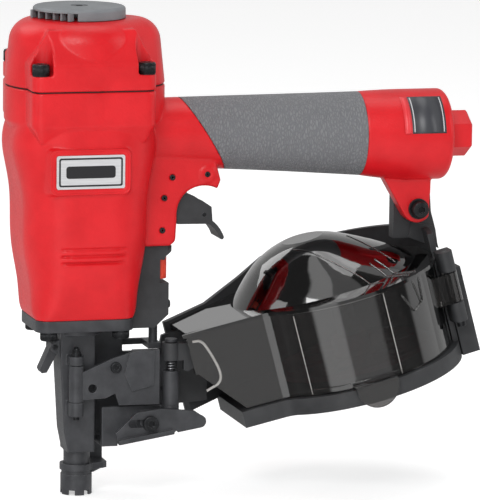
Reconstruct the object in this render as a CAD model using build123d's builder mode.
from build123d import *
import os
from math import cos, radians, sin

# A coil-fed pneumatic roofing nailer, in millimetres. The driver runs along Z through the origin, which is
# the centre of the contact tip's bottom face. The handle runs back along +X, and the nose door faces -Y.

os.makedirs("parts", exist_ok=True)

# Driving dimensions
fit_gap = 0.05  # radial clearance of a running fit
slip_gap = 0.3  # clearance between pieces that move past each other

body_bottom_z = 99.0
parting_z = 225.0
gasket_thickness = 0.6
cap_radius = 40.3
cap_tail_radius = 26.0
cap_tail_x = 21.0
cap_top_z = 260.5
panel_half_x = 34.0
panel_half_y = 40.0
panel_corner = 6.0
screw_x = 29.0
screw_y = 35.0
screw_radius = 2.5
screw_seat_z = 233.4

bore_radius = 20.5
sleeve_wall = 3.0
sleeve_bottom_z = 108.0
sleeve_top_z = 203.0
piston_top_z = 200.0
piston_height = 14.0
blade_radius = 3.5
blade_tip_z = 74.0
bumper_top_z = 121.0
bumper_gap = 2.3  # the bumper swells into this when it is struck

flange_thickness = 6.5
flange_length = 54.0
flange_width = 46.0
channel_radius = 5.2
nose_bottom_z = 10.0
tip_radius = 8.6
rod_x = 42.5
rod_radius = 2.4

handle_wall = 4.0
grip_thickness = 2.5
grip_front_x = 45.0
grip_end_x = 157.0
end_cap_x = 206.0
inlet_length = 14.0
inlet_z = 192.7
inlet_bore_radius = 7.4
inlet_hex_flats = 22.0

web_half = 14.0
slot_half = 10.4
slot_ceiling_z = 169.5
valve_x = 58.85
valve_radius = 7.5

can_tilt = 15.0
can_x = 146.0
can_z = 112.0
can_radius = 55.0
can_depth = 48.0
neck_p = -30.0
neck_radius = 31.0
waist_radius = 14.0
can_wall = 2.0
frame_wall = 3.0
tray_depth = 9.0
throat_p = -94.0
throat_near = -22.0
throat_far = 12.0
cover_hinge_offset = 2.5  # hinge line outside the round of the canister
cover_hinge_q = -24.0
spine_depth = 11.0

cover_screw_y = 6.6
cover_screw_z = 104.0

post_x = 49.7
post_y = -12.0
post_radius = 4.6
post_low_z = 49.0
door_pin_x = -3.5
door_pin_y = -13.5
door_pin_radius = 1.75
back_wall_y = 6.0
back_wall_thickness = 3.5

# Planes and outlines that several pieces share
sleeve_radius = bore_radius + sleeve_wall
flange_top_z = body_bottom_z
flange_bottom_z = flange_top_z - flange_thickness
body_top_z = parting_z - gasket_thickness
back_face_y = back_wall_y + back_wall_thickness
cover_hinge_p = can_radius + cover_hinge_offset
bumper_radius = bore_radius - bumper_gap
can_along = (cos(radians(can_tilt)), 0, sin(radians(can_tilt)))
can_up = (-sin(radians(can_tilt)), 0, cos(radians(can_tilt)))
can_plane = Plane(origin=(can_x, 0, can_z), x_dir=can_along, z_dir=can_up)
can_section = Plane(origin=(can_x, 0, can_z), x_dir=can_along, z_dir=(0, -1, 0))


def cap_outline(height, shrink):
    """The round of the cap and its tail, as one smooth egg."""
    with BuildSketch(Plane.XY.offset(height)) as outline:
        Circle(cap_radius - shrink)
        with Locations((cap_tail_x, 0)):
            Circle(cap_tail_radius - shrink)
        make_hull()
    return outline.sketch


def panel_outline(height, shrink):
    """The flat-sided panel that carries the cap screws."""
    with BuildSketch(Plane.XY.offset(height)) as outline:
        RectangleRounded(2 * (panel_half_x - shrink), 2 * (panel_half_y - shrink), panel_corner)
    return outline.sketch


def handle_sections(inset, first_x, last_x):
    """Ellipses along the handle: x, middle height, half width, half height."""
    stations = (
        (26, 197.2, 17.5, 18.5),
        (45, 197.0, 18.0, 19.0),
        (82, 196.3, 19.5, 20.0),
        (120, 195.2, 20.6, 21.4),
        (157, 194.0, 22.0, 23.0),
        (172, 193.2, 24.0, 24.4),
    )
    faces = []
    for x, middle, half_width, half_height in stations:
        if first_x <= x <= last_x:
            with BuildSketch(Plane.YZ.offset(x)) as section:
                with Locations((0, middle)):
                    Ellipse(half_width - inset, half_height - inset)
            faces.append(section.sketch.face())
    return faces


def round_sections(plane, middle, stations):
    """Circles square to the plane's normal: distance along it, radius."""
    faces = []
    for distance, radius in stations:
        with BuildSketch(plane.offset(distance)) as section:
            with Locations(middle):
                Circle(radius)
        faces.append(section.sketch.face())
    return faces


def throat_end(grow):
    """The feed throat's mouth, at the front of the canister."""
    with Locations((throat_p + 2, (throat_near + throat_far) / 2)):
        return Rectangle(4 + 2 * grow, throat_far - throat_near + 2 * grow)


def can_outline(level, grow):
    """Round of the canister running out to the feed throat, with a waist on the near side."""
    with BuildSketch() as far_side:
        Circle(can_radius + grow)
        throat_end(grow)
        make_hull()
        with Locations((0, 2 * can_radius)):
            Rectangle(6 * can_radius, 4 * can_radius, mode=Mode.INTERSECT)
    with BuildSketch() as near_side:
        with Locations((neck_p, 0)):
            Circle(neck_radius + grow)
        throat_end(grow)
        make_hull()
        Circle(can_radius + grow)
        waist = near_side.vertices().sort_by_distance((neck_p - neck_radius / 2, -neck_radius, 0))[0]
        fillet(waist, radius=waist_radius - grow)
    with BuildSketch(can_plane.offset(level)) as outline:
        add(far_side.sketch)
        add(near_side.sketch)
    return outline.sketch


# Body housing: barrel, panel, web, neck and the hollow handle, one casting
body_stations = (
    (99, 54, 46, 7),
    (112, 59, 60, 16),
    (123, 62, 68, 20),
    (134, 66, 73, 23),
    (151, 68, 76, 24),
    (173, 71, 77, 25),
    (205, 73, 78, 26),
    (body_top_z, 73, 78, 26),
)
collar_z = 206.0
collar_skirt = 9.0

with BuildPart() as barrel:
    for height, length, width, corner in body_stations:
        with BuildSketch(Plane.XY.offset(height)):
            RectangleRounded(length, width, corner)
    loft()

with BuildPart() as neck:
    loft(handle_sections(0, 26, 120))
    split(bisect_by=Plane(origin=(68, 0, 197), z_dir=(38, 0, 24)), keep=Keep.BOTTOM)

with BuildPart() as web:
    with BuildSketch(Plane.XZ):
        with BuildLine():
            Polyline((22, 136.6), (22, 200), (60, 200), (74, 181), (76.5, 172), (74.7, 167.2))
            ThreePointArc((74.7, 167.2), (66.5, 169.0), (56.8, 165.2))
            Spline((56.8, 165.2), (52.6, 158.0), (52.1, 151.8))
            Polyline((52.1, 151.8), (51.4, 139.3), (48.5, 136.6), (22, 136.6))
        make_face()
    extrude(amount=web_half, both=True)
    fillet(web.faces().filter_by(Axis.Y).edges().filter_by(Plane.XZ), radius=2)
    with BuildSketch(Plane.XZ.offset(web_half - 1)):
        with Locations((68.6, 175.4)):
            Circle(4.2)
    extrude(amount=1.8)

badge_x = -2.5
badge_z = 182.0
badge_length = 38.0
badge_height = 18.6
badge_face_y = -40.2
badge_recess = 1.4
groove_heights = (139.8, 136.0, 132.0)

chamber = round_sections(Plane.XY, (0, 0), ((114, 25.2), (134, 28.5), (180, 31.5)))

with BuildPart() as body_housing:
    add(barrel.part)
    extrude(cap_outline(collar_z, 0), amount=body_top_z - collar_z)
    extrude(cap_outline(collar_z, 0), amount=-collar_skirt, taper=38)
    extrude(panel_outline(collar_z, 0), amount=body_top_z - collar_z)
    extrude(panel_outline(collar_z, 0), amount=-collar_skirt, taper=30)
    add(neck.part)
    add(web.part)
    loft(handle_sections(grip_thickness, 26, 172))
    # raised frame round the name plate
    with BuildSketch(Plane.XZ.offset(-badge_face_y)):
        with Locations((badge_x, badge_z)):
            RectangleRounded(badge_length + 5, badge_height + 5, 2.5)
    extrude(amount=-8, taper=-20)
    with BuildSketch(Plane.XZ.offset(-badge_face_y)):
        with Locations((badge_x, badge_z)):
            RectangleRounded(badge_length, badge_height, 1.5)
    extrude(amount=-badge_recess, mode=Mode.SUBTRACT)
    # three shallow grooves across the near side
    for height in groove_heights:
        with BuildSketch(Plane.XZ.offset(34.9)):
            with Locations((badge_x, height)):
                SlotOverall(42, 1.5)
        extrude(amount=8, mode=Mode.SUBTRACT)
    # reservoir above the partition
    with BuildSketch(Plane.XY.offset(188)):
        Circle(33.5)
    extrude(amount=body_top_z - 188, mode=Mode.SUBTRACT)
    # return-air chamber round the sleeve
    loft(chamber, mode=Mode.SUBTRACT)
    # seat of the sleeve, bore of the bumper, grooves of the sleeve seals
    with BuildSketch(Plane.XY.offset(sleeve_bottom_z)):
        Circle(sleeve_radius)
    extrude(amount=188 - sleeve_bottom_z, mode=Mode.SUBTRACT)
    with BuildSketch(Plane.XY.offset(body_bottom_z)):
        Circle(bumper_radius + slip_gap)
    extrude(amount=20, mode=Mode.SUBTRACT)
    for height in (110.0, 183.0):
        with BuildSketch(Plane.XY.offset(height)):
            Circle(sleeve_radius + 2)
        extrude(amount=2.4, mode=Mode.SUBTRACT)
    # air passage through the handle
    loft(handle_sections(grip_thickness + handle_wall, 26, 172), mode=Mode.SUBTRACT)
    # trigger slot between the cheeks of the web
    with BuildSketch(Plane.XZ):
        with Locations(((37.5 + 84) / 2, (130 + slot_ceiling_z) / 2)):
            Rectangle(84 - 37.5, slot_ceiling_z - 130)
    extrude(amount=slot_half, both=True, mode=Mode.SUBTRACT)
    # bore of the trigger valve
    with BuildSketch(Plane.XY.offset(slot_ceiling_z - 1)):
        with Locations((valve_x, 0)):
            Circle(valve_radius)
    extrude(amount=21, mode=Mode.SUBTRACT)
    # threaded holes of the cap screws and the nose bolts
    with BuildSketch(Plane.XY.offset(body_top_z)):
        with GridLocations(2 * screw_x, 2 * screw_y, 2, 2):
            Circle(screw_radius)
    extrude(amount=-21, mode=Mode.SUBTRACT)
    with BuildSketch(Plane.XY.offset(body_bottom_z)):
        with GridLocations(40, 36, 2, 2):
            Circle(screw_radius)
    extrude(amount=8, mode=Mode.SUBTRACT)
    with BuildSketch(Plane.YZ.offset(24)):
        with Locations((cover_screw_y, cover_screw_z), (-cover_screw_y, cover_screw_z)):
            Circle(1.25)
    extrude(amount=10, mode=Mode.SUBTRACT)
    # holes of the spring pins
    for x, z in ((44.7, 163.0), (43.7, 145.4), (49.1, 174.2), (68.6, 175.4)):
        with BuildSketch(Plane.XZ):
            with Locations((x, z)):
                Circle(1.5)
        extrude(amount=web_half + 2, both=True, mode=Mode.SUBTRACT)
body_housing.part.label = "body_housing"
export_step(body_housing.part, "parts/body_housing.step")

pin_half = web_half + 0.3
with BuildPart() as housing_pins:
    for x, z in ((44.7, 163.0), (49.1, 174.2), (68.6, 175.4)):
        with BuildSketch(Plane.XZ):
            with Locations((x, z)):
                Circle(1.5)
                Circle(0.6, mode=Mode.SUBTRACT)
        extrude(amount=pin_half, both=True)
    for side in (-1, 1):
        with BuildSketch(Plane.XZ.offset(side * slot_half)):
            with Locations((43.7, 145.4)):
                Circle(1.5)
                Circle(0.6, mode=Mode.SUBTRACT)
        extrude(amount=side * (pin_half - slot_half))
housing_pins.part.label = "housing_pins"
export_step(housing_pins.part, "parts/housing_pins.step")

# Cap: egg-shaped dome with the screw panels, pockets over the screws and the head valve's guide
guide_radius = 24.2
guide_wall = 3.3
ceiling_z = 250.0

with BuildPart() as cap_dome:
    extrude(cap_outline(parting_z, 0), amount=cap_top_z - parting_z, taper=6)
    fillet(cap_dome.faces().sort_by(Axis.Z)[-1].edges(), radius=13)

with BuildPart() as cap_panel:
    extrude(panel_outline(parting_z, 0), amount=14)
    extrude(panel_outline(parting_z + 14, 0), amount=18, taper=30)

with BuildPart() as top_cap:
    add(cap_dome.part)
    add(cap_panel.part)
    for x in (-screw_x, screw_x):
        for side in (-1, 1):
            with BuildSketch(Plane.XY.offset(screw_seat_z)):
                with Locations((x, side * screw_y)):
                    Circle(6)
                with Locations((x + (3 if x > 0 else -3), side * (screw_y + 6))):
                    Rectangle(16, 12)
                make_hull()
            extrude(amount=40, mode=Mode.SUBTRACT)
    # hollow round the guide, then the guide's own bore
    with BuildSketch(Plane.XY.offset(parting_z)):
        Circle(33)
    extrude(amount=18, mode=Mode.SUBTRACT)
    with BuildSketch(Plane.XY.offset(212)):
        Circle(guide_radius + guide_wall)
    extrude(amount=34)
    with BuildSketch(Plane.XY.offset(212)):
        Circle(guide_radius)
    extrude(amount=ceiling_z - 212, mode=Mode.SUBTRACT)
    # exhaust ports round the deflector screw
    with BuildSketch(Plane.XY.offset(ceiling_z)):
        with PolarLocations(13, 6):
            Circle(4)
        Circle(screw_radius)
    extrude(amount=12, mode=Mode.SUBTRACT)
    with BuildSketch(Plane.XY.offset(parting_z)):
        with GridLocations(2 * screw_x, 2 * screw_y, 2, 2):
            Circle(screw_radius)
    extrude(amount=12, mode=Mode.SUBTRACT)
top_cap.part.label = "top_cap"
export_step(top_cap.part, "parts/top_cap.step")

with BuildPart() as cap_gasket:
    extrude(cap_outline(body_top_z, 0.8), amount=gasket_thickness)
    extrude(panel_outline(body_top_z, 0.8), amount=gasket_thickness)
    with BuildSketch(Plane.XY.offset(body_top_z)):
        Circle(33.5)
        with GridLocations(2 * screw_x, 2 * screw_y, 2, 2):
            Circle(screw_radius)
    extrude(amount=gasket_thickness, mode=Mode.SUBTRACT)
cap_gasket.part.label = "cap_gasket"
export_step(cap_gasket.part, "parts/cap_gasket.step")


def socket_screw(seat, shank_radius, shank_length, head_radius, head_height):
    """A socket head screw that points down its plane's normal from the seat."""
    with BuildPart() as screw:
        with BuildSketch(seat):
            Circle(head_radius)
        extrude(amount=head_height)
        fillet(screw.faces().sort_by(Axis(seat.origin, seat.z_dir))[-1].edges(), radius=0.5)
        with BuildSketch(seat):
            Circle(shank_radius)
        extrude(amount=-shank_length)
        with BuildSketch(seat.offset(head_height)):
            RegularPolygon(head_radius * 0.5, 6)
        extrude(amount=-head_height * 0.55, mode=Mode.SUBTRACT)
    return screw.part


with BuildPart() as cap_screws:
    for x in (-screw_x, screw_x):
        for y in (-screw_y, screw_y):
            add(socket_screw(Plane((x, y, screw_seat_z)), screw_radius, 28, 4.4, 6.4))
cap_screws.part.label = "cap_screws"
export_step(cap_screws.part, "parts/cap_screws.step")

# Exhaust deflector: turns on its screw
deflector_radius = 25.0
deflector_z = cap_top_z + slip_gap
deflector_height = 6.2
outlet_angle = 212.0

outlet_way = (cos(radians(outlet_angle)), sin(radians(outlet_angle)), 0)
outlet_plane = Plane(origin=(0, 0, deflector_z), x_dir=outlet_way, z_dir=(0, 0, 1))
with BuildPart() as deflector:
    with BuildSketch(Plane.XY.offset(deflector_z)):
        Circle(deflector_radius)
    extrude(amount=deflector_height)
    fillet(deflector.faces().sort_by(Axis.Z)[-1].edges(), radius=1.8)
    with BuildSketch(outlet_plane):
        Circle(21)
        with Locations((15, 0)):
            Rectangle(30, 34)
    extrude(amount=deflector_height - 2.2, mode=Mode.SUBTRACT)
    # louvre blades across the outlet
    with BuildSketch(outlet_plane):
        with GridLocations(0, 5.6, 1, 6):
            with Locations((20.6, 0)):
                Rectangle(3.4, 1.4)
    extrude(amount=deflector_height - 2)
    with BuildSketch(Plane.XY.offset(deflector_z)):
        Circle(5.5)
    extrude(amount=deflector_height - 1)
    with BuildSketch(Plane.XY.offset(deflector_z + deflector_height - 2)):
        Circle(4.8)
    extrude(amount=4, mode=Mode.SUBTRACT)
    with BuildSketch(Plane.XY.offset(deflector_z - 1)):
        Circle(screw_radius + fit_gap)
    extrude(amount=8, mode=Mode.SUBTRACT)
deflector.part.label = "deflector"
export_step(deflector.part, "parts/deflector.step")

with BuildPart() as deflector_screw:
    add(socket_screw(Plane((0, 0, deflector_z + deflector_height - 2 + fit_gap)), screw_radius, 15, 4.3, 1.7))
deflector_screw.part.label = "deflector_screw"
export_step(deflector_screw.part, "parts/deflector_screw.step")

# Head valve and its spring, in the cap's guide
valve_bottom_z = sleeve_top_z + slip_gap
head_valve_top_z = 222.0

with BuildPart() as head_valve:
    with BuildSketch(Plane.XY.offset(valve_bottom_z)):
        Circle(guide_radius - fit_gap)
    extrude(amount=head_valve_top_z - valve_bottom_z)
    with BuildSketch(Plane.XY.offset(valve_bottom_z + 5)):
        Circle(guide_radius - 3)
        Circle(9, mode=Mode.SUBTRACT)
    extrude(amount=20, mode=Mode.SUBTRACT)
head_valve.part.label = "head_valve"
export_step(head_valve.part, "parts/head_valve.step")


def coil_spring(base, height, radius, wire, pitch):
    """A wire spring standing on the base plane."""
    with BuildPart() as spring:
        with BuildLine(base.offset(wire)) as route:
            Helix(pitch, height - 2 * wire, radius)
        start = route.line @ 0
        with BuildSketch(Plane(origin=start, z_dir=route.line % 0)):
            Circle(wire)
        sweep(is_frenet=True)
    return spring.part


spring_seat_z = valve_bottom_z + 5
with BuildPart() as head_valve_spring:
    add(coil_spring(Plane((0, 0, spring_seat_z)), ceiling_z - spring_seat_z, 15, 1.2, 8))
head_valve_spring.part.label = "head_valve_spring"
export_step(head_valve_spring.part, "parts/head_valve_spring.step")

# Cylinder sleeve, seals, bumper, piston and blade
with BuildPart() as cylinder_sleeve:
    with BuildSketch(Plane.XY.offset(sleeve_bottom_z)):
        Circle(sleeve_radius)
        Circle(bore_radius, mode=Mode.SUBTRACT)
    extrude(amount=sleeve_top_z - sleeve_bottom_z)
    with Locations(Pos(0, 0, 130)):
        with PolarLocations(0, 6):
            Cylinder(1.5, 60, rotation=(0, 90, 0), mode=Mode.SUBTRACT)
cylinder_sleeve.part.label = "cylinder_sleeve"
export_step(cylinder_sleeve.part, "parts/cylinder_sleeve.step")

with BuildPart() as sleeve_seals:
    for height in (110.0, 183.0):
        with BuildSketch(Plane.XY.offset(height)):
            Circle(sleeve_radius + 2)
            Circle(sleeve_radius, mode=Mode.SUBTRACT)
        extrude(amount=2.4)
sleeve_seals.part.label = "sleeve_seals"
export_step(sleeve_seals.part, "parts/sleeve_seals.step")

with BuildPart() as bumper:
    with BuildSketch(Plane.XY.offset(body_bottom_z)):
        Circle(bumper_radius)
        Circle(blade_radius + 0.8, mode=Mode.SUBTRACT)
    extrude(amount=bumper_top_z - body_bottom_z)
    chamfer(bumper.faces().sort_by(Axis.Z)[-1].edges().sort_by(SortBy.LENGTH)[-1], length=3)
bumper.part.label = "bumper"
export_step(bumper.part, "parts/bumper.step")

piston_bottom_z = piston_top_z - piston_height
seal_z = piston_bottom_z + 5
with BuildPart() as piston:
    with BuildSketch(Plane.XY.offset(piston_bottom_z)):
        Circle(bore_radius - fit_gap)
    extrude(amount=piston_height)
    with BuildSketch(Plane.XY.offset(piston_bottom_z + 8)):
        Circle(15)
        Circle(7, mode=Mode.SUBTRACT)
    extrude(amount=8, mode=Mode.SUBTRACT)
    with BuildSketch(Plane.XY.offset(seal_z)):
        Circle(bore_radius)
        Circle(bore_radius - 2.5, mode=Mode.SUBTRACT)
    extrude(amount=2.4, mode=Mode.SUBTRACT)
    with BuildSketch(Plane.XY.offset(piston_bottom_z)):
        Circle(blade_radius)
    extrude(amount=8, mode=Mode.SUBTRACT)
piston.part.label = "piston"
export_step(piston.part, "parts/piston.step")

with BuildPart() as piston_seal:
    with BuildSketch(Plane.XY.offset(seal_z)):
        Circle(bore_radius - fit_gap)
        Circle(bore_radius - 2.5, mode=Mode.SUBTRACT)
    extrude(amount=2.4)
piston_seal.part.label = "piston_seal"
export_step(piston_seal.part, "parts/piston_seal.step")

with BuildPart() as driver_blade:
    with BuildSketch(Plane.XY.offset(blade_tip_z)):
        Circle(blade_radius)
    extrude(amount=piston_bottom_z + 8 - blade_tip_z)
driver_blade.part.label = "driver_blade"
export_step(driver_blade.part, "parts/driver_blade.step")

# Grip and end cap
grip_cut = Plane(origin=(68, 0, 197), z_dir=(38, 0, 24))
with BuildPart() as handle_grip:
    loft(handle_sections(0, grip_front_x, grip_end_x))
    loft(handle_sections(grip_thickness, 26, 172), mode=Mode.SUBTRACT)
    split(bisect_by=grip_cut, keep=Keep.TOP)
handle_grip.part.label = "handle_grip"
export_step(handle_grip.part, "parts/handle_grip.step")

end_wall = 6.0
end_radius = 25.0
lug_far_y = 3.0
lug_thickness = 10.0
bolt_x = 190.6
bolt_z = 152.2

rims = handle_sections(0, grip_end_x, 172) + round_sections(Plane.YZ, (0, inlet_z), ((182, end_radius),))

with BuildPart() as end_cap:
    loft(rims)
    with BuildSketch(Plane.YZ.offset(182)):
        with Locations((0, inlet_z)):
            Circle(end_radius)
    extrude(amount=end_cap_x - 182)
    fillet(end_cap.faces().sort_by(Axis.X)[-1].edges(), radius=3.5)
    with BuildSketch(Plane.XZ.offset(-lug_far_y)):
        with BuildLine():
            Polyline((170, 178), (170, 171), (182.9, 148.5))
            ThreePointArc((182.9, 148.5), (190.0, 144.4), (196.9, 147.8))
            Polyline((196.9, 147.8), (198.0, 171), (198.0, 178), (170, 178))
        make_face()
    extrude(amount=lug_thickness)
    # hollow, with a wall left for the inlet
    with BuildSketch(Plane.YZ.offset(172)):
        with Locations((0, inlet_z)):
            Circle(end_radius - 5)
    extrude(amount=end_cap_x - end_wall - 172, mode=Mode.SUBTRACT)
    loft(handle_sections(grip_thickness, 26, 172), mode=Mode.SUBTRACT)
    with BuildSketch(Plane.YZ.offset(end_cap_x - end_wall - 1)):
        with Locations((0, inlet_z)):
            Circle(9.5)
    extrude(amount=end_wall + 2, mode=Mode.SUBTRACT)
    with BuildSketch(Plane.XZ):
        with Locations((bolt_x, bolt_z)):
            Circle(screw_radius)
    extrude(amount=20, both=True, mode=Mode.SUBTRACT)
end_cap.part.label = "end_cap"
export_step(end_cap.part, "parts/end_cap.step")

with BuildPart() as air_inlet:
    with BuildSketch(Plane.YZ.offset(end_cap_x - end_wall)):
        with Locations((0, inlet_z)):
            Circle(9.5)
    extrude(amount=end_wall)
    with BuildSketch(Plane.YZ.offset(end_cap_x)):
        with Locations((0, inlet_z)):
            RegularPolygon(inlet_hex_flats / 2, 6, major_radius=False, rotation=30)
    extrude(amount=inlet_length)
    chamfer(air_inlet.faces().sort_by(Axis.X)[-1].edges(), length=1)
    with BuildSketch(Plane.YZ.offset(end_cap_x - end_wall)):
        with Locations((0, inlet_z)):
            Circle(inlet_bore_radius)
    extrude(amount=end_wall + inlet_length, mode=Mode.SUBTRACT)
air_inlet.part.label = "air_inlet"
export_step(air_inlet.part, "parts/air_inlet.step")

with BuildPart() as nameplate:
    with BuildSketch(Plane.XZ.offset(-badge_face_y - badge_recess)):
        with Locations((badge_x, badge_z)):
            RectangleRounded(badge_length - 0.6, badge_height - 0.6, 1.2)
    extrude(amount=1.0)
nameplate.part.label = "nameplate"
export_step(nameplate.part, "parts/nameplate.step")

# Trigger valve: body in the web, stem below it
valve_base_z = slot_ceiling_z
valve_height = 18.0
stem_radius = 2.0
stem_bottom_z = 160.0
stem_head_z = valve_base_z + 4.6

with BuildPart() as trigger_valve_body:
    with BuildSketch(Plane.XY.offset(valve_base_z)):
        with Locations((valve_x, 0)):
            Circle(valve_radius)
    extrude(amount=valve_height)
    with BuildSketch(Plane.XY.offset(valve_base_z)):
        with Locations((valve_x, 0)):
            Circle(stem_radius + fit_gap)
    extrude(amount=valve_height, mode=Mode.SUBTRACT)
    with BuildSketch(Plane.XY.offset(valve_base_z + 4)):
        with Locations((valve_x, 0)):
            Circle(5)
    extrude(amount=valve_height - 6, mode=Mode.SUBTRACT)
trigger_valve_body.part.label = "trigger_valve_body"
export_step(trigger_valve_body.part, "parts/trigger_valve_body.step")

with BuildPart() as valve_stem:
    with BuildSketch(Plane.XY.offset(stem_bottom_z)):
        with Locations((valve_x, 0)):
            Circle(stem_radius)
    extrude(amount=24.5)
    with BuildSketch(Plane.XY.offset(stem_head_z)):
        with Locations((valve_x, 0)):
            Circle(4.6)
    extrude(amount=2)
valve_stem.part.label = "valve_stem"
export_step(valve_stem.part, "parts/valve_stem.step")

valve_spring_z = stem_head_z + 2.1
valve_spring_top_z = valve_base_z + valve_height - 2
with BuildPart() as valve_spring:
    add(coil_spring(Plane((valve_x, 0, valve_spring_z)), valve_spring_top_z - valve_spring_z, 3.3, 0.4, 2))
valve_spring.part.label = "valve_spring"
export_step(valve_spring.part, "parts/valve_spring.step")

# Trigger: a U-shaped channel on the front pin, with the contact lever pinned inside it
trigger_x = 44.7
trigger_z = 163.0
lever_x = 68.3
lever_z = 152.7
trigger_half = 9.6
trigger_inner = 6.6
pin_radius = 1.5
lever_pin_radius = 1.25

with BuildPart() as trigger:
    with BuildSketch(Plane.XZ):
        with BuildLine():
            Polyline((41.6, 165.0), (44.0, 166.6), (49.5, 166.2), (57.9, 164.6), (67.3, 160.3), (72.3, 156.9))
            Polyline((72.3, 156.9), (72.9, 149.2))
            Spline((72.9, 149.2), (76.2, 146.0), (79.4, 140.2))
            ThreePointArc((79.4, 140.2), (78.6, 138.9), (77.2, 139.3))
            Spline((77.2, 139.3), (74.6, 144.0), (70.6, 147.6))
            Polyline((70.6, 147.6), (53.2, 147.9), (46.0, 156.0), (41.6, 161.0), (41.6, 165.0))
        make_face()
    extrude(amount=trigger_half, both=True)
    with BuildSketch(Plane.XZ):
        Polygon((40, 170), (40, 145), (52, 145), (54.5, 150.6), (70.4, 150.6), (70.4, 170), align=None)
    extrude(amount=trigger_inner, both=True, mode=Mode.SUBTRACT)
    with BuildSketch(Plane.XZ):
        with Locations((trigger_x, trigger_z)):
            Circle(pin_radius + fit_gap)
        with Locations((lever_x, lever_z)):
            Circle(lever_pin_radius)
    extrude(amount=trigger_half + 1, both=True, mode=Mode.SUBTRACT)
trigger.part.label = "trigger"
export_step(trigger.part, "parts/trigger.step")

with BuildPart() as lever_pin:
    with BuildSketch(Plane.XZ):
        with Locations((lever_x, lever_z)):
            Circle(lever_pin_radius)
    extrude(amount=trigger_half, both=True)
lever_pin.part.label = "lever_pin"
export_step(lever_pin.part, "parts/lever_pin.step")

with BuildPart() as trigger_lever:
    with BuildSketch(Plane.XZ):
        Polygon(
            (68.3, 155.0), (60, 155.2), (46, 151.2), (46, 149.2), (54.0, 151.1), (60, 152.4), (68.3, 151.4),
            align=None,
        )
        with Locations((lever_x, lever_z)):
            Circle(2.0)
    extrude(amount=5.5, both=True)
    with BuildSketch(Plane.XZ):
        with Locations((lever_x, lever_z)):
            Circle(lever_pin_radius + fit_gap)
    extrude(amount=8, both=True, mode=Mode.SUBTRACT)
trigger_lever.part.label = "trigger_lever"
export_step(trigger_lever.part, "parts/trigger_lever.step")

# Nose housing: flange, driver column, feed track and its knuckles, one casting
column_half_y = 9.0
column_front_x = -11.0
column_back_x = 8.0
knuckle_radius = 4.0
fixed_knuckles = ((45.0, 52.8), (73.1, 78.0))
cheek_near_y = -11.0
gauge_screw_x = 36.0
gauge_screw_z = 41.0
gauge_y = -21.5
gauge_thickness = 2.5
pawl_slot_z = (61.0, 70.5)
ear_x = -13.4
ear_z = 82.0

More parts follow.
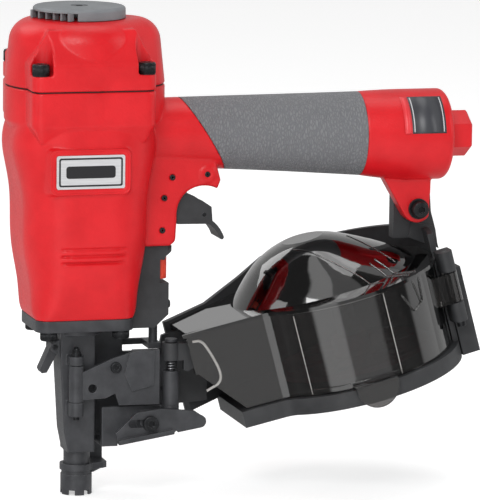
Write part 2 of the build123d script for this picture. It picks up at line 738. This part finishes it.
with BuildPart() as nose_housing:
    with BuildSketch(Plane.XY.offset(flange_bottom_z)):
        RectangleRounded(flange_length, flange_width, 7)
    extrude(amount=flange_thickness)
    with BuildSketch(Plane.XY.offset(flange_bottom_z)):
        Circle(13)
    extrude(amount=-4)
    # driver column, leaning back at the front
    with BuildSketch(Plane.XZ):
        Polygon(
            (column_front_x, flange_bottom_z), (column_front_x, 70), (column_front_x + 2, 36), (-7, 26),
            (-7, 24), (column_back_x, 24), (column_back_x, flange_bottom_z),
            align=None,
        )
    extrude(amount=column_half_y, both=True)
    with BuildSketch(Plane.XY.offset(nose_bottom_z)):
        Circle(7)
    extrude(amount=20)
    # back wall, floor and near cheek of the feed track
    with BuildSketch(Plane.XZ.offset(-back_face_y)):
        Polygon(
            (2, 27), (2, flange_bottom_z), (flange_length / 2, flange_bottom_z), (flange_length / 2, 76),
            (46, 76), (56, 70), (56, 37), (20, 27),
            align=None,
        )
    extrude(amount=back_wall_thickness)
    with BuildSketch(Plane.XY.offset(27)):
        with Locations((16, (cheek_near_y + back_face_y) / 2)):
            Rectangle(9, back_face_y - cheek_near_y)
    extrude(amount=3)
    with BuildSketch(Plane.XZ.offset(-cheek_near_y - 3)):
        Polygon(
            (11.5, 27), (11.5, post_low_z), (54.3, post_low_z), (54.3, 38), (20.5, 30.5), (20.5, 27),
            align=None,
        )
    extrude(amount=3)
    # pad under the latch post
    with BuildSketch(Plane.XY.offset(post_low_z - 4)):
        with Locations((post_x, post_y)):
            Circle(post_radius)
        with Locations((post_x, post_y + 2)):
            Rectangle(2 * post_radius, 4)
    extrude(amount=4)
    # boss of the gauge screw
    with BuildSketch(Plane.XZ.offset(-cheek_near_y)):
        with Locations((gauge_screw_x, gauge_screw_z)):
            Circle(5)
    extrude(amount=-gauge_y - gauge_thickness - slip_gap + cheek_near_y)
    # knuckles of the nose door
    for low, high in fixed_knuckles:
        with BuildSketch(Plane.XY.offset(low)):
            with Locations((door_pin_x, door_pin_y)):
                Circle(knuckle_radius)
            with Locations((door_pin_x, -column_half_y - 2)):
                Rectangle(2 * knuckle_radius, 6)
        extrude(amount=high - low)
    # ears of the quick-clear latch
    with BuildSketch(Plane.XZ):
        Polygon(
            (column_front_x + 1, 87), (ear_x - 2.5, 84), (ear_x - 2.5, 80), (column_front_x + 1, 76),
            align=None,
        )
    extrude(amount=6.5, both=True)
    with BuildSketch(Plane.XZ):
        with Locations((-18.0, 81.5)):
            Rectangle(14, 20)
    extrude(amount=4.3, both=True, mode=Mode.SUBTRACT)
    # driver guide, drive channel and the slot where nails enter it
    with BuildSketch(Plane.XY.offset(80)):
        Circle(blade_radius + fit_gap)
    extrude(amount=30, mode=Mode.SUBTRACT)
    with BuildSketch(Plane.XY.offset(nose_bottom_z - 1)):
        Circle(channel_radius)
    extrude(amount=81 - nose_bottom_z, mode=Mode.SUBTRACT)
    with BuildSketch(Plane.XZ):
        Polygon((0, 28), (0, 77), (column_back_x + 2, 77), (column_back_x + 2, 28), align=None)
    extrude(amount=channel_radius, both=True, mode=Mode.SUBTRACT)
    # window for the pawl, and holes
    with BuildSketch(Plane.XZ.offset(-20)):
        with Locations((26, sum(pawl_slot_z) / 2)):
            Rectangle(20, pawl_slot_z[1] - pawl_slot_z[0])
    extrude(amount=16, mode=Mode.SUBTRACT)
    with BuildSketch(Plane.XY.offset(flange_bottom_z)):
        with GridLocations(40, 36, 2, 2):
            Circle(screw_radius)
    extrude(amount=flange_thickness, mode=Mode.SUBTRACT)
    with BuildSketch(Plane.XY.offset(40)):
        with Locations((door_pin_x, door_pin_y)):
            Circle(door_pin_radius)
    extrude(amount=45, mode=Mode.SUBTRACT)
    with BuildSketch(Plane.XZ):
        with Locations((gauge_screw_x, gauge_screw_z)):
            Circle(2)
    extrude(amount=20, mode=Mode.SUBTRACT)
    with BuildSketch(Plane.XZ):
        with Locations((32, 55), (50, 55)):
            Circle(1.5)
    extrude(amount=-12, mode=Mode.SUBTRACT)
    with BuildSketch(Plane.XZ):
        with Locations((ear_x, ear_z)):
            Circle(lever_pin_radius)
    extrude(amount=8, both=True, mode=Mode.SUBTRACT)
nose_housing.part.label = "nose_housing"
export_step(nose_housing.part, "parts/nose_housing.step")

with BuildPart() as nose_bolts:
    for x in (-20, 20):
        for y in (-18, 18):
            seat = Plane(origin=(x, y, flange_bottom_z), z_dir=(0, 0, -1))
            add(socket_screw(seat, screw_radius, flange_thickness + 7.5, 4.4, 4.5))
nose_bolts.part.label = "nose_bolts"
export_step(nose_bolts.part, "parts/nose_bolts.step")

with BuildPart() as nose_hinge_pin:
    with BuildSketch(Plane.XY.offset(43)):
        with Locations((door_pin_x, door_pin_y)):
            Circle(door_pin_radius)
    extrude(amount=40)
    with BuildSketch(Plane.XY.offset(78)):
        with Locations((door_pin_x, door_pin_y)):
            Circle(2.6)
    extrude(amount=2.4)
    chamfer(nose_hinge_pin.faces().sort_by(Axis.Z)[-1].edges(), length=0.8)
nose_hinge_pin.part.label = "nose_hinge_pin"
export_step(nose_hinge_pin.part, "parts/nose_hinge_pin.step")

door_low_z = fixed_knuckles[0][1] + slip_gap
door_high_z = fixed_knuckles[1][0] - slip_gap
door_outer_y = door_pin_y - 2.5
with BuildPart() as nose_door:
    with BuildSketch(Plane.XZ.offset(-door_pin_y)):
        Polygon(
            (-3.5, 68.5), (0.3, 69.6), (16.4, 76.5), (30.2, 80.2), (42.3, 80.3), (42.3, 50.3), (20, 50.5),
            (17.7, 57.1), (12.2, 54.7), (-3.5, 54.0),
            align=None,
        )
    extrude(amount=2.5)
    # raised step beside the latch, and the rib that guides the nail heads
    with BuildSketch(Plane.XZ.offset(-door_outer_y)):
        Polygon((22.6, 68), (25.5, 79), (30.2, 80.2), (39.2, 80.3), (38.9, 61.2), (27.1, 58.2), align=None)
    extrude(amount=1.2)
    with BuildSketch(Plane.XY.offset(62)):
        Polygon((10.5, door_pin_y), (13, -7), (40, -7), (40, door_pin_y), align=None)
    extrude(amount=6)
    with BuildSketch(Plane.XY.offset(door_low_z)):
        with Locations((door_pin_x, door_pin_y)):
            Circle(knuckle_radius)
    extrude(amount=door_high_z - door_low_z)
    with BuildSketch(Plane.XY.offset(40)):
        with Locations((door_pin_x, door_pin_y)):
            Circle(door_pin_radius + fit_gap)
    extrude(amount=45, mode=Mode.SUBTRACT)
    with BuildSketch(Plane.XZ):
        with Locations((5.0, 60.3)):
            Circle(2.4)
        with Locations((17.9, 71.5)):
            Circle(1.5)
    extrude(amount=25, mode=Mode.SUBTRACT)
nose_door.part.label = "nose_door"
export_step(nose_door.part, "parts/nose_door.step")

with BuildPart() as door_screw:
    add(socket_screw(Plane(origin=(17.9, door_outer_y, 71.5), z_dir=(0, -1, 0)), 1.5, 2.4, 3.0, 1.6))
door_screw.part.label = "door_screw"
export_step(door_screw.part, "parts/door_screw.step")

with BuildPart() as quick_latch:
    with BuildSketch(Plane.XZ):
        with BuildLine():
            Polyline((ear_x + 1.8, ear_z + 1.5), (ear_x - 1.5, ear_z + 2.0), (-21.5, 69.5), (-20.4, 67.4))
            Polyline((-20.4, 67.4), (-17.6, 67.8))
            Polyline((-17.6, 67.8), (ear_x + 1.9, 79.0), (ear_x + 1.8, ear_z + 1.5))
        make_face()
    extrude(amount=4, both=True)
    fillet(quick_latch.edges().filter_by(Axis.Y), radius=0.6)
    with BuildSketch(Plane.XZ):
        with Locations((ear_x, ear_z)):
            Circle(lever_pin_radius + fit_gap)
    extrude(amount=8, both=True, mode=Mode.SUBTRACT)
quick_latch.part.label = "quick_latch"
export_step(quick_latch.part, "parts/quick_latch.step")

with BuildPart() as quick_latch_pin:
    with BuildSketch(Plane.XZ):
        with Locations((ear_x, ear_z)):
            Circle(lever_pin_radius)
    extrude(amount=6.8, both=True)
quick_latch_pin.part.label = "quick_latch_pin"
export_step(quick_latch_pin.part, "parts/quick_latch_pin.step")

# Contact arm: riser on the far side of the feed track, band under the flange, rod up to the trigger
riser_y = back_face_y + 1.0
riser_thickness = 2.4
riser_far_y = riser_y + riser_thickness
foot_z = 13.4
foot_thickness = 3.4
tip_shoulder_z = 11.0
tip_neck_radius = 8.1
band_z = 79.0
band_height = 3.2
spring_low_z = 96.0
spring_high_z = 115.0
rod_top_z = 137.0

with BuildPart() as contact_arm:
    with BuildSketch(Plane.XY.offset(foot_z)):
        Circle(tip_radius + 0.5)
        Polygon((0, -6), (14.5, -2), (17, 0), (17, riser_far_y), (10.2, riser_far_y), (0, 6), align=None)
    extrude(amount=foot_thickness)
    with BuildSketch(Plane.XZ.offset(2)):
        Polygon(
            (tip_neck_radius, foot_z + 1), (tip_neck_radius, tip_shoulder_z + 0.4),
            (tip_radius + 0.4, tip_shoulder_z + 0.4), (15.5, foot_z + 1),
            align=None,
        )
    extrude(amount=-3)
    with BuildSketch(Plane.XZ.offset(-riser_y)):
        Polygon(
            (10.2, foot_z), (10.2, 74), (12, band_z + band_height), (46, band_z + band_height), (46, band_z),
            (22, band_z), (17, 72), (17, foot_z),
            align=None,
        )
    extrude(amount=-riser_thickness)
    with BuildSketch(Plane.XY.offset(band_z)):
        with Locations((rod_x, (riser_far_y - 4) / 2)):
            Rectangle(7, riser_far_y + 4)
    extrude(amount=band_height)
    with BuildSketch(Plane.XY.offset(band_z)):
        with Locations((rod_x, 0)):
            Circle(rod_radius)
    extrude(amount=rod_top_z - band_z)
    with BuildSketch(Plane.XY.offset(spring_low_z - 2.2)):
        with Locations((rod_x, 0)):
            Circle(3.8)
    extrude(amount=2.2)
    with BuildSketch(Plane.XY.offset(-1)):
        Circle(7 + slip_gap)
    extrude(amount=30, mode=Mode.SUBTRACT)
contact_arm.part.label = "contact_arm"
export_step(contact_arm.part, "parts/contact_arm.step")

# Contact tip: castellated bush under the arm, and the shield above the arm's ring
with BuildPart() as contact_tip:
    with BuildSketch(Plane.XY):
        Circle(tip_radius)
    extrude(amount=tip_shoulder_z)
    with BuildSketch(Plane.XY.offset(tip_shoulder_z)):
        Circle(tip_neck_radius)
    extrude(amount=foot_z - tip_shoulder_z)
    with BuildSketch(Plane.XY):
        Circle(7 + slip_gap)
    extrude(amount=foot_z, mode=Mode.SUBTRACT)
    with BuildSketch(Plane.XY):
        with PolarLocations(tip_radius, 6):
            Rectangle(5, 3.6)
    extrude(amount=2.6, mode=Mode.SUBTRACT)
contact_tip.part.label = "contact_tip"
export_step(contact_tip.part, "parts/contact_tip.step")

with BuildPart() as contact_spring:
    add(coil_spring(Plane((rod_x, 0, spring_low_z)), spring_high_z - spring_low_z, 3.2, 0.4, 2.6))
contact_spring.part.label = "contact_spring"
export_step(contact_spring.part, "parts/contact_spring.step")

wheel_low_z = 117.6
wheel_height = 11.4
with BuildPart() as depth_wheel:
    with BuildSketch(Plane.XY.offset(wheel_low_z)):
        with Locations((rod_x, 0)):
            Circle(7.0)
            Circle(rod_radius + fit_gap, mode=Mode.SUBTRACT)
    extrude(amount=wheel_height)
    with BuildSketch(Plane.XY.offset(wheel_low_z + 1.2)):
        with Locations((rod_x, 0)):
            with PolarLocations(7.2, 24):
                Circle(0.5)
    extrude(amount=wheel_height - 2.4, mode=Mode.SUBTRACT)
depth_wheel.part.label = "depth_wheel"
export_step(depth_wheel.part, "parts/depth_wheel.step")

cover_half = 9.2
with BuildPart() as linkage_cover:
    with BuildSketch(Plane.XZ):
        with BuildLine():
            Polyline((28.2, 91.4), (41, 91.4), (48.8, 98.5), (48.8, 117.0), (46.6, 130), (50.6, 133.4))
            Polyline((50.6, 133.4), (50.6, 136.2), (34.2, 136.2), (33.6, 130), (32.2, 123), (30.4, 112))
            Polyline((30.4, 112), (28.2, 99.5), (28.2, 91.4))
        make_face()
    extrude(amount=cover_half, both=True)
    fillet(linkage_cover.edges().filter_by(Axis.Z).group_by(Axis.X)[-1], radius=2)
    with BuildSketch(Plane.XY.offset(91)):
        with Locations((rod_x, 0)):
            Circle(4.1)
    extrude(amount=spring_high_z - 91, mode=Mode.SUBTRACT)
    with BuildSketch(Plane.XY.offset(91)):
        with Locations((rod_x, 0)):
            Circle(rod_radius + slip_gap)
    extrude(amount=60, mode=Mode.SUBTRACT)
    with BuildSketch(Plane.XY.offset(wheel_low_z - slip_gap)):
        with Locations((rod_x, 0)):
            Circle(7.5)
        with Locations((rod_x + 6, 0)):
            Rectangle(12, 15)
    extrude(amount=30, mode=Mode.SUBTRACT)
    with BuildSketch(Plane.YZ.offset(20)):
        with Locations((cover_screw_y, cover_screw_z), (-cover_screw_y, cover_screw_z)):
            Circle(1.25)
    extrude(amount=40, mode=Mode.SUBTRACT)
linkage_cover.part.label = "linkage_cover"
export_step(linkage_cover.part, "parts/linkage_cover.step")

with BuildPart() as linkage_screws:
    for y in (-cover_screw_y, cover_screw_y):
        seat = Plane(origin=(48.8, y, cover_screw_z), z_dir=(1, 0, 0))
        add(socket_screw(seat, 1.25, 24.0, 2.2, 1.2))
linkage_screws.part.label = "linkage_screws"
export_step(linkage_screws.part, "parts/linkage_screws.step")

# Magazine frame: tilted tray, far wall with its tall back, rear spine with the hinge, arm up to the end cap
floor_level = -can_depth
tray_level = floor_level - tray_depth
tray_clip_p = -75.0
wall_split_q = -17.0
wing_height = 14.0
spine_p = can_radius + spine_depth
arm_half_step = 8.2
knuckle_r = 4.2
cover_pin_radius = 1.5
frame_knuckles = ((-36.0, -25.0), (-7.4, 4.0))


def can_clip(part, point_p, point_q, direction, keep):
    """Keep one side of a plane that stands along the canister axis."""
    origin = can_plane.from_local_coords(Vector(point_p, point_q, 0))
    normal = can_plane.from_local_coords(Vector(point_p, point_q, 0) + Vector(*direction)) - origin
    return split(part, bisect_by=Plane(origin=origin, z_dir=normal), keep=keep)


with BuildPart() as far_wall:
    extrude(can_outline(floor_level - 1, frame_wall), amount=can_depth + 1 + wing_height)
    extrude(can_outline(floor_level - 1, 0), amount=can_depth + 1 + wing_height, mode=Mode.SUBTRACT)
    # sloping top edge towards the throat, level at the back
    with BuildSketch(can_section):
        Polygon((-110, 3.5), (-69, 3.5), (-44, 9), (-26, wing_height), (-26, 40), (-110, 40), align=None)
    extrude(amount=90, both=True, mode=Mode.SUBTRACT)
    # open mouth of the throat
    with BuildSketch(can_plane.offset(floor_level - 1)):
        with Locations((throat_p, throat_far - 30)):
            Rectangle(12, 60)
    extrude(amount=can_depth + 1 + wing_height, mode=Mode.SUBTRACT)
far_wall_half = can_clip(far_wall.part, 0, wall_split_q, (0, 1, 0), Keep.TOP)

with BuildPart() as tray:
    extrude(can_outline(tray_level, frame_wall), amount=tray_depth)
    extrude(can_outline(tray_level, 0), amount=tray_depth - 3, mode=Mode.SUBTRACT)
tray_half = can_clip(tray.part, tray_clip_p, 0, (1, 0, 0), Keep.TOP)

with BuildPart() as magazine_frame:
    add(far_wall_half)
    add(tray_half)
    # front rim of the tray
    with BuildSketch(can_plane.offset(tray_level)):
        with Locations((tray_clip_p + 1.5, -2.5)):
            Rectangle(3, 51)
    extrude(amount=tray_depth)
    # rear spine, hollow from below, and the hinge knuckles beside it
    with BuildSketch(can_plane.offset(tray_level)):
        with Locations(((can_radius + spine_p) / 2 + 0.5, 2)):
            Rectangle(spine_p - can_radius - 1, 40)
    extrude(amount=can_depth + tray_depth - 8)
    with BuildSketch(can_plane.offset(tray_level)):
        with Locations(((can_radius + spine_p) / 2 + 1.5, 2)):
            Rectangle(spine_p - can_radius - 9, 34)
    extrude(amount=can_depth - 4, mode=Mode.SUBTRACT)
    for low, high in frame_knuckles:
        with BuildSketch(can_plane.offset(low)):
            with Locations((cover_hinge_p, cover_hinge_q)):
                Circle(knuckle_r)
            with Locations((cover_hinge_p, cover_hinge_q + 4)):
                Rectangle(2 * knuckle_r, 8)
        extrude(amount=high - low)
    # arm up to the end cap's lug, with a stiffening rib
    with BuildSketch(Plane.XZ.offset(-lug_far_y - arm_half_step)):
        with BuildLine():
            Polyline((181.5, 166), (179.6, 163), (179.6, 134.5), (190, 134.5), (198.5, 131.0), (205.8, 128.4))
            Polyline((205.8, 128.4), (204.0, 139), (201.2, 149), (200.2, 163), (198.4, 166), (181.5, 166))
        make_face()
    extrude(amount=arm_half_step)
    with BuildSketch(Plane.XZ.offset(-24)):
        Polygon((188, 135.0), (190, 144), (202.0, 141), (205.8, 128.4), (198.5, 131.0), align=None)
    extrude(amount=22)
    # back plate of the throat, screwed to the nose
    with BuildSketch(Plane.XZ.offset(-back_face_y - frame_wall)):
        Polygon(
            (27, 50), (27, 59), (45, 59), (50, 83.5), (62, 87.5), (76, 70), (76, 46.5), (60, 45.5), (54, 50),
            align=None,
        )
    extrude(amount=frame_wall)
    with BuildSketch(Plane.XZ):
        with Locations((32, 55), (50, 55)):
            Circle(1.5)
    extrude(amount=-20, mode=Mode.SUBTRACT)
    with BuildSketch(Plane.XZ):
        with Locations((bolt_x, bolt_z)):
            Circle(screw_radius)
    extrude(amount=-20, mode=Mode.SUBTRACT)
    with BuildSketch(can_plane.offset(-45)):
        with Locations((cover_hinge_p, cover_hinge_q)):
            Circle(cover_pin_radius)
    extrude(amount=55, mode=Mode.SUBTRACT)
    with BuildSketch(can_plane.offset(floor_level - 6)):
        Circle(5)
    extrude(amount=6, mode=Mode.SUBTRACT)
magazine_frame.part.label = "magazine_frame"
export_step(magazine_frame.part, "parts/magazine_frame.step")

with BuildPart() as magazine_screws:
    for x in (32, 50):
        seat = Plane(origin=(x, back_face_y + frame_wall, 55), z_dir=(0, 1, 0))
        add(socket_screw(seat, 1.5, frame_wall + back_wall_thickness, 2.9, 1.6))
magazine_screws.part.label = "magazine_screws"
export_step(magazine_screws.part, "parts/magazine_screws.step")

washer_thickness = 1.4
lug_near_y = lug_far_y - lug_thickness
arm_far_y = lug_far_y + arm_half_step
with BuildPart() as magazine_bolt:
    seat = Plane(origin=(bolt_x, lug_near_y - washer_thickness, bolt_z), z_dir=(0, -1, 0))
    add(socket_screw(seat, screw_radius, arm_far_y - lug_near_y + washer_thickness + 5.5, 4.4, 5))
magazine_bolt.part.label = "magazine_bolt"
export_step(magazine_bolt.part, "parts/magazine_bolt.step")

with BuildPart() as magazine_washer:
    with BuildSketch(Plane.XZ.offset(-lug_near_y)):
        with Locations((bolt_x, bolt_z)):
            Circle(5.7)
            Circle(screw_radius, mode=Mode.SUBTRACT)
    extrude(amount=washer_thickness)
magazine_washer.part.label = "magazine_washer"
export_step(magazine_washer.part, "parts/magazine_washer.step")

with BuildPart() as magazine_nut:
    with BuildSketch(Plane.XZ.offset(-arm_far_y - 4.5)):
        with Locations((bolt_x, bolt_z)):
            RegularPolygon(4, 6, major_radius=False)
            Circle(screw_radius, mode=Mode.SUBTRACT)
    extrude(amount=4.5)
magazine_nut.part.label = "magazine_nut"
export_step(magazine_nut.part, "parts/magazine_nut.step")

with BuildPart() as coil_post:
    with BuildSketch(can_plane.offset(floor_level - 6)):
        Circle(5)
    extrude(amount=6)
    with BuildSketch(can_plane.offset(floor_level)):
        Circle(6)
    extrude(amount=40)
    chamfer(coil_post.faces().sort_by(Axis.Z)[-1].edges(), length=1)
coil_post.part.label = "coil_post"
export_step(coil_post.part, "parts/coil_post.step")

platform_level = -44.0
with BuildPart() as nail_platform:
    with BuildSketch(can_plane.offset(platform_level)):
        Circle(42)
    extrude(amount=3)
    with BuildSketch(can_plane.offset(platform_level)):
        Circle(10.5)
    extrude(amount=14)
    with BuildSketch(can_plane.offset(platform_level)):
        with PolarLocations(27, 6):
            SlotOverall(20, 9)
    extrude(amount=3, mode=Mode.SUBTRACT)
    with BuildSketch(can_plane.offset(platform_level)):
        Circle(6 + fit_gap)
    extrude(amount=20, mode=Mode.SUBTRACT)
nail_platform.part.label = "nail_platform"
export_step(nail_platform.part, "parts/nail_platform.step")

# Clear cover: near half of the canister wall, domed top, throat side and hinge strap, one moulding
cover_low = floor_level + 0.5
rim_thickness = 2.0
cover_knuckle = (-24.5, -7.9)
# height over the rim plate, middle along and across, half length and half width, for a 55 mm canister
dome_stations = (
    (0.0, -6.0, 3.0, 54.0, 44.0),
    (2.5, -6.3, 3.0, 52.5, 42.5),
    (12.0, -8.5, 2.5, 42.5, 34.0),
    (20.0, -11.5, 2.0, 31.0, 25.5),
    (26.0, -12.5, 1.0, 20.0, 17.5),
    (29.0, -12.5, 0.0, 11.5, 10.5),
)


def dome_sections(inset, stations):
    """Ellipses up the leaning dome, each drawn in and let down by the wall's thickness."""
    faces = []
    share = can_radius / 55
    for height, along, across, half_length, half_width in stations:
        with BuildSketch(can_plane.offset(height - inset)) as section:
            with Locations((along * share, across * share)):
                Ellipse(half_length * share - inset, half_width * share - inset)
        faces.append(section.sketch.face())
    return faces


with BuildPart() as near_wall:
    extrude(can_outline(cover_low, -0.5), amount=-cover_low)
    extrude(can_outline(cover_low, -0.5 - can_wall), amount=-cover_low, mode=Mode.SUBTRACT)
    with BuildSketch(can_section):
        Polygon((-96, -60), (-96, -22), (-92, -22), (-71, cover_low), (-71, -60), align=None)
    extrude(amount=90, both=True, mode=Mode.SUBTRACT)
near_wall_half = can_clip(near_wall.part, 0, wall_split_q - 1, (0, 1, 0), Keep.BOTTOM)

with BuildPart() as near_rim:
    extrude(can_outline(0, 2.0), amount=rim_thickness)
near_rim_half = can_clip(near_rim.part, 0, wall_split_q - 6, (0, 1, 0), Keep.BOTTOM)

with BuildPart() as canister_cover:
    add(near_wall_half)
    extrude(can_outline(0, -0.5), amount=rim_thickness)
    add(near_rim_half)
    loft(dome_sections(0, dome_stations))
    loft(dome_sections(can_wall, dome_stations), mode=Mode.SUBTRACT)
    # hinge strap and knuckle
    with BuildSketch(can_plane.offset(cover_knuckle[0])):
        with Locations((cover_hinge_p, cover_hinge_q)):
            Circle(knuckle_r)
        Polygon(
            (can_radius - 8.5, -29.5), (can_radius - 8.5, -24.4), (cover_hinge_p, cover_hinge_q + 1), (cover_hinge_p, -28),
            align=None,
        )
    extrude(amount=cover_knuckle[1] - cover_knuckle[0])
    with BuildSketch(can_plane.offset(cover_knuckle[0] - 1)):
        with Locations((cover_hinge_p, cover_hinge_q)):
            Circle(cover_pin_radius + fit_gap)
        Circle(can_radius - 0.5 - can_wall)
    extrude(amount=cover_knuckle[1] - cover_knuckle[0] + 2, mode=Mode.SUBTRACT)
    # pull tab over the edge of the tray
    with BuildSketch(can_plane.offset(cover_low)):
        with Locations((-6, -57.6)):
            Rectangle(24, 8)
    extrude(amount=1.8)
    with BuildSketch(Plane(origin=can_plane.from_local_coords(Vector(-6, -59.4, cover_low)), x_dir=can_along,
                           z_dir=(0, -1, 0))):
        Circle(12)
        with Locations((0, 15 + 1.8)):
            Rectangle(30, 30, mode=Mode.SUBTRACT)
    extrude(amount=2.2)
canister_cover.part.label = "canister_cover"
export_step(canister_cover.part, "parts/canister_cover.step")

with BuildPart() as canister_hinge_pin:
    with BuildSketch(can_plane.offset(-39)):
        with Locations((cover_hinge_p, cover_hinge_q)):
            Circle(cover_pin_radius)
    extrude(amount=43)
    with BuildSketch(can_plane.offset(-39)):
        with Locations((cover_hinge_p, cover_hinge_q)):
            Circle(2.4)
    extrude(amount=2.6)
canister_hinge_pin.part.label = "canister_hinge_pin"
export_step(canister_hinge_pin.part, "parts/canister_hinge_pin.step")

# Latch post with its spring, and the latch that slides down it
post_neck_z = 68.0
latch_low_z = 74.0

with BuildPart() as latch_post:
    with BuildSketch(Plane.XY.offset(post_low_z)):
        with Locations((post_x, post_y)):
            Circle(post_radius)
    extrude(amount=post_neck_z - post_low_z)
    with BuildSketch(Plane.XY.offset(post_neck_z)):
        with Locations((post_x, post_y)):
            Circle(2.0)
    extrude(amount=16)
    with BuildSketch(Plane.XY.offset(84)):
        with Locations((post_x, post_y)):
            Circle(3.4)
    extrude(amount=1.6)
latch_post.part.label = "latch_post"
export_step(latch_post.part, "parts/latch_post.step")

with BuildPart() as latch_spring:
    add(coil_spring(Plane((post_x, post_y, post_neck_z)), latch_low_z - post_neck_z, 2.9, 0.4, 1.5))
latch_spring.part.label = "latch_spring"
export_step(latch_spring.part, "parts/latch_spring.step")

with BuildPart() as cover_latch:
    with BuildSketch(Plane.XY.offset(latch_low_z)):
        with Locations((post_x, post_y)):
            Circle(post_radius + 0.4)
    extrude(amount=9.6)
    with BuildSketch(Plane.XZ.offset(11.5)):
        Polygon(
            (50, 74), (50, 83.4), (60.5, 83.4), (62.5, 79), (62.5, 71), (58.7, 67.8), (56, 68.5), (56, 74),
            align=None,
        )
    extrude(amount=4.5)
    with BuildSketch(Plane.XY.offset(latch_low_z)):
        with Locations((post_x, post_y)):
            Circle(2.0 + fit_gap)
    extrude(amount=12, mode=Mode.SUBTRACT)
cover_latch.part.label = "cover_latch"
export_step(cover_latch.part, "parts/cover_latch.step")

# Feed cylinder on the far side of the track, and its piston with the pawl
feed_y = 22.0
feed_z = 66.0
feed_front_x = 37.0
feed_back_x = 55.0

with BuildPart() as feed_cylinder:
    with BuildSketch(Plane.YZ.offset(feed_front_x)):
        with Locations((feed_y, feed_z)):
            Circle(8)
    extrude(amount=feed_back_x - feed_front_x)
    with BuildSketch(Plane.YZ.offset(feed_front_x)):
        with Locations(((back_face_y + feed_y) / 2, feed_z + 3)):
            Rectangle(feed_y - back_face_y, 7)
    extrude(amount=7.4)
    with BuildSketch(Plane.YZ.offset(feed_front_x + 2)):
        with Locations((feed_y, feed_z)):
            Circle(6)
    extrude(amount=feed_back_x - feed_front_x - 4, mode=Mode.SUBTRACT)
    with BuildSketch(Plane.YZ.offset(feed_front_x)):
        with Locations((feed_y, feed_z)):
            Circle(2.5 + fit_gap)
    extrude(amount=4, mode=Mode.SUBTRACT)
feed_cylinder.part.label = "feed_cylinder"
export_step(feed_cylinder.part, "parts/feed_cylinder.step")

with BuildPart() as feed_piston:
    with BuildSketch(Plane.YZ.offset(feed_back_x - 2.5 - 2.8)):
        with Locations((feed_y, feed_z)):
            Circle(6 - fit_gap)
    extrude(amount=2.8)
    with BuildSketch(Plane.YZ.offset(29.5)):
        with Locations((feed_y, feed_z)):
            Circle(2.5)
    extrude(amount=feed_back_x - 2.5 - 29.5)
    # pawl arm reaching through the window of the back wall
    with BuildSketch(Plane.XY.offset(feed_z - 2.5)):
        Polygon((29.5, feed_y + 3), (34, feed_y + 3), (34, 7), (29.5, 3.6), align=None)
    extrude(amount=5)
feed_piston.part.label = "feed_piston"
export_step(feed_piston.part, "parts/feed_piston.step")

# Shingle gauge: slides along under its screw
gauge_travel = 10.0
with BuildPart() as shingle_gauge:
    with BuildSketch(Plane.XZ.offset(-gauge_y - gauge_thickness)):
        with BuildLine():
            Polyline((18.4, 30.0), (49.5, 35.0), (50.6, 36.4), (51.7, 35.4), (64.4, 37.5))
            ThreePointArc((64.4, 37.5), (67.4, 40.9), (64.9, 44.2))
            Polyline((64.9, 44.2), (60.9, 46.9), (42.1, 48.6), (28.5, 47.0), (17.0, 36.2), (18.4, 30.0))
        make_face()
    extrude(amount=gauge_thickness)
    with BuildSketch(Plane.XZ.offset(-gauge_y - gauge_thickness)):
        Polygon((18.4, 30.0), (49.0, 34.9), (49.0, 37.4), (18.0, 32.5), align=None)
    extrude(amount=5)
    with BuildSketch(Plane.XZ):
        with Locations((gauge_screw_x - gauge_travel / 2, gauge_screw_z)):
            SlotOverall(gauge_travel + 4.6, 4.6)
    extrude(amount=40, mode=Mode.SUBTRACT)
shingle_gauge.part.label = "shingle_gauge"
export_step(shingle_gauge.part, "parts/shingle_gauge.step")

with BuildPart() as gauge_screw:
    seat = Plane(origin=(gauge_screw_x, gauge_y - slip_gap, gauge_screw_z), z_dir=(0, -1, 0))
    add(socket_screw(seat, 2.0, 13.8, 4.2, 2.6))
gauge_screw.part.label = "gauge_screw"
export_step(gauge_screw.part, "parts/gauge_screw.step")
